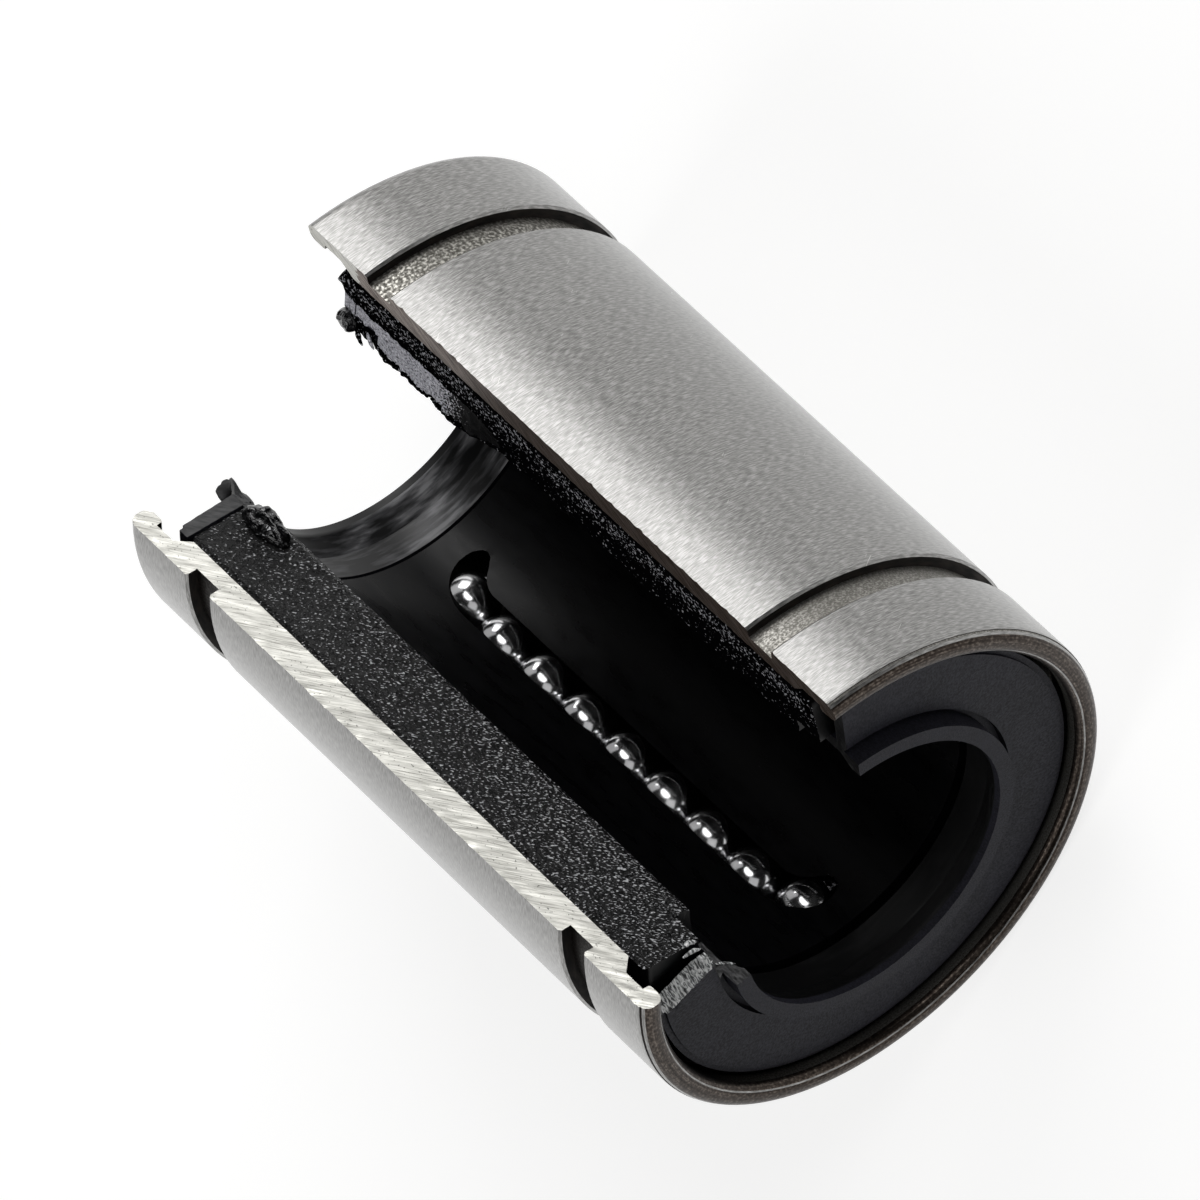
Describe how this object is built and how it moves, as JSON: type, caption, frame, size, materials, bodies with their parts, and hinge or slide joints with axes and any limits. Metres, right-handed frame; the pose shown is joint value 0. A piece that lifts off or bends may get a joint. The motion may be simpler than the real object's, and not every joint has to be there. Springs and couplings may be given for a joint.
{
  "type": "open linear ball bearing",
  "caption": "Open linear ball bearing: split steel sleeve with ring grooves, moulded cage, end seals and recirculating balls, to slide along a shaft held from below.",
  "frame": {"origin": "on the shaft axis, at mid-length of the sleeve", "axes": "+X along the shaft towards the front end, +Z out of the middle of the opening"},
  "size_m": [0.03, 0.021, 0.0187],
  "materials": {
    "sleeve_steel": "ground bearing steel, satin, with rolled-in ends",
    "cage_plastic": "moulded black acetal, glossy in the bore and rough where it was cut",
    "seal_rubber": "moulded black rubber, finely matte",
    "ball_steel": "polished bearing balls"
  },
  "bodies": {
    "sleeve": {"outer_sleeve": "sleeve_steel", "ball_cage": "cage_plastic", "front_seal": "seal_rubber", "rear_seal": "seal_rubber"},
    "left_lower_load": {"left_lower_load_balls": "ball_steel"},
    "left_lower_front_turn": {"left_lower_front_turn_balls": "ball_steel"},
    "left_lower_return": {"left_lower_return_balls": "ball_steel"},
    "left_lower_rear_turn": {"left_lower_rear_turn_balls": "ball_steel"},
    "left_upper_load": {"left_upper_load_balls": "ball_steel"},
    "left_upper_front_turn": {"left_upper_front_turn_balls": "ball_steel"},
    "left_upper_return": {"left_upper_return_balls": "ball_steel"},
    "left_upper_rear_turn": {"left_upper_rear_turn_balls": "ball_steel"},
    "right_lower_load": {"right_lower_load_balls": "ball_steel"},
    "right_lower_front_turn": {"right_lower_front_turn_balls": "ball_steel"},
    "right_lower_return": {"right_lower_return_balls": "ball_steel"},
    "right_lower_rear_turn": {"right_lower_rear_turn_balls": "ball_steel"},
    "right_upper_load": {"right_upper_load_balls": "ball_steel"},
    "right_upper_front_turn": {"right_upper_front_turn_balls": "ball_steel"},
    "right_upper_return": {"right_upper_return_balls": "ball_steel"},
    "right_upper_rear_turn": {"right_upper_rear_turn_balls": "ball_steel"}
  },
  "joints": [
    {"name": "left_lower_load_slide", "type": "slide", "parent": "sleeve", "child": "left_lower_load", "axis": [1, 0, 0], "range_m": [-0.0014, 0.001]},
    {"name": "left_lower_return_slide", "type": "slide", "parent": "sleeve", "child": "left_lower_return", "axis": [-1, 0, 0], "range_m": [-0.0014, 0.001]},
    {"name": "left_lower_front_turn_hinge", "type": "hinge", "parent": "sleeve", "child": "left_lower_front_turn", "pos_m": [0.0087, -0.00421, -0.00607], "axis": [0, 0.7431, 0.6691], "range_deg": [-52.51, 37.51]},
    {"name": "left_lower_rear_turn_hinge", "type": "hinge", "parent": "sleeve", "child": "left_lower_rear_turn", "pos_m": [-0.0081, -0.00421, -0.00607], "axis": [0, 0.7431, 0.6691], "range_deg": [-52.51, 37.51]},
    {"name": "left_upper_load_slide", "type": "slide", "parent": "sleeve", "child": "left_upper_load", "axis": [1, 0, 0], "range_m": [-0.0005, 0.0019]},
    {"name": "left_upper_return_slide", "type": "slide", "parent": "sleeve", "child": "left_upper_return", "axis": [-1, 0, 0], "range_m": [-0.0005, 0.0019]},
    {"name": "left_upper_front_turn_hinge", "type": "hinge", "parent": "sleeve", "child": "left_upper_front_turn", "pos_m": [0.0087, -0.00715, 0.00188], "axis": [0, 0.8829, -0.4695], "range_deg": [-18.76, 71.26]},
    {"name": "left_upper_rear_turn_hinge", "type": "hinge", "parent": "sleeve", "child": "left_upper_rear_turn", "pos_m": [-0.0081, -0.00715, 0.00188], "axis": [0, 0.8829, -0.4695], "range_deg": [-18.76, 71.26]},
    {"name": "right_lower_load_slide", "type": "slide", "parent": "sleeve", "child": "right_lower_load", "axis": [1, 0, 0], "range_m": [-0.0009, 0.0015]},
    {"name": "right_lower_return_slide", "type": "slide", "parent": "sleeve", "child": "right_lower_return", "axis": [-1, 0, 0], "range_m": [-0.0009, 0.0015]},
    {"name": "right_lower_front_turn_hinge", "type": "hinge", "parent": "sleeve", "child": "right_lower_front_turn", "pos_m": [0.0087, 0.00421, -0.00607], "axis": [0, 0.7431, -0.6691], "range_deg": [-33.76, 56.26]},
    {"name": "right_lower_rear_turn_hinge", "type": "hinge", "parent": "sleeve", "child": "right_lower_rear_turn", "pos_m": [-0.0081, 0.00421, -0.00607], "axis": [0, 0.7431, -0.6691], "range_deg": [-33.76, 56.26]},
    {"name": "right_upper_load_slide", "type": "slide", "parent": "sleeve", "child": "right_upper_load", "axis": [1, 0, 0], "range_m": [-0.0019, 0.0005]},
    {"name": "right_upper_return_slide", "type": "slide", "parent": "sleeve", "child": "right_upper_return", "axis": [-1, 0, 0], "range_m": [-0.0019, 0.0005]},
    {"name": "right_upper_front_turn_hinge", "type": "hinge", "parent": "sleeve", "child": "right_upper_front_turn", "pos_m": [0.0087, 0.00715, 0.00188], "axis": [0, 0.8829, 0.4695], "range_deg": [-71.26, 18.76]},
    {"name": "right_upper_rear_turn_hinge", "type": "hinge", "parent": "sleeve", "child": "right_upper_rear_turn", "pos_m": [-0.0081, 0.00715, 0.00188], "axis": [0, 0.8829, 0.4695], "range_deg": [-71.26, 18.76]}
  ],
  "couplings": [
    {"joint": "left_lower_return_slide", "follows": "left_lower_load_slide", "ratio": 1},
    {"joint": "left_lower_front_turn_hinge", "follows": "left_lower_load_slide", "rad_per_m": 654.5},
    {"joint": "left_lower_rear_turn_hinge", "follows": "left_lower_load_slide", "rad_per_m": 654.5},
    {"joint": "left_upper_return_slide", "follows": "left_upper_load_slide", "ratio": 1},
    {"joint": "left_upper_front_turn_hinge", "follows": "left_upper_load_slide", "rad_per_m": 654.5},
    {"joint": "left_upper_rear_turn_hinge", "follows": "left_upper_load_slide", "rad_per_m": 654.5},
    {"joint": "right_lower_return_slide", "follows": "right_lower_load_slide", "ratio": 1},
    {"joint": "right_lower_front_turn_hinge", "follows": "right_lower_load_slide", "rad_per_m": 654.5},
    {"joint": "right_lower_rear_turn_hinge", "follows": "right_lower_load_slide", "rad_per_m": 654.5},
    {"joint": "right_upper_return_slide", "follows": "right_upper_load_slide", "ratio": 1},
    {"joint": "right_upper_front_turn_hinge", "follows": "right_upper_load_slide", "rad_per_m": 654.5},
    {"joint": "right_upper_rear_turn_hinge", "follows": "right_upper_load_slide", "rad_per_m": 654.5}
  ]
}
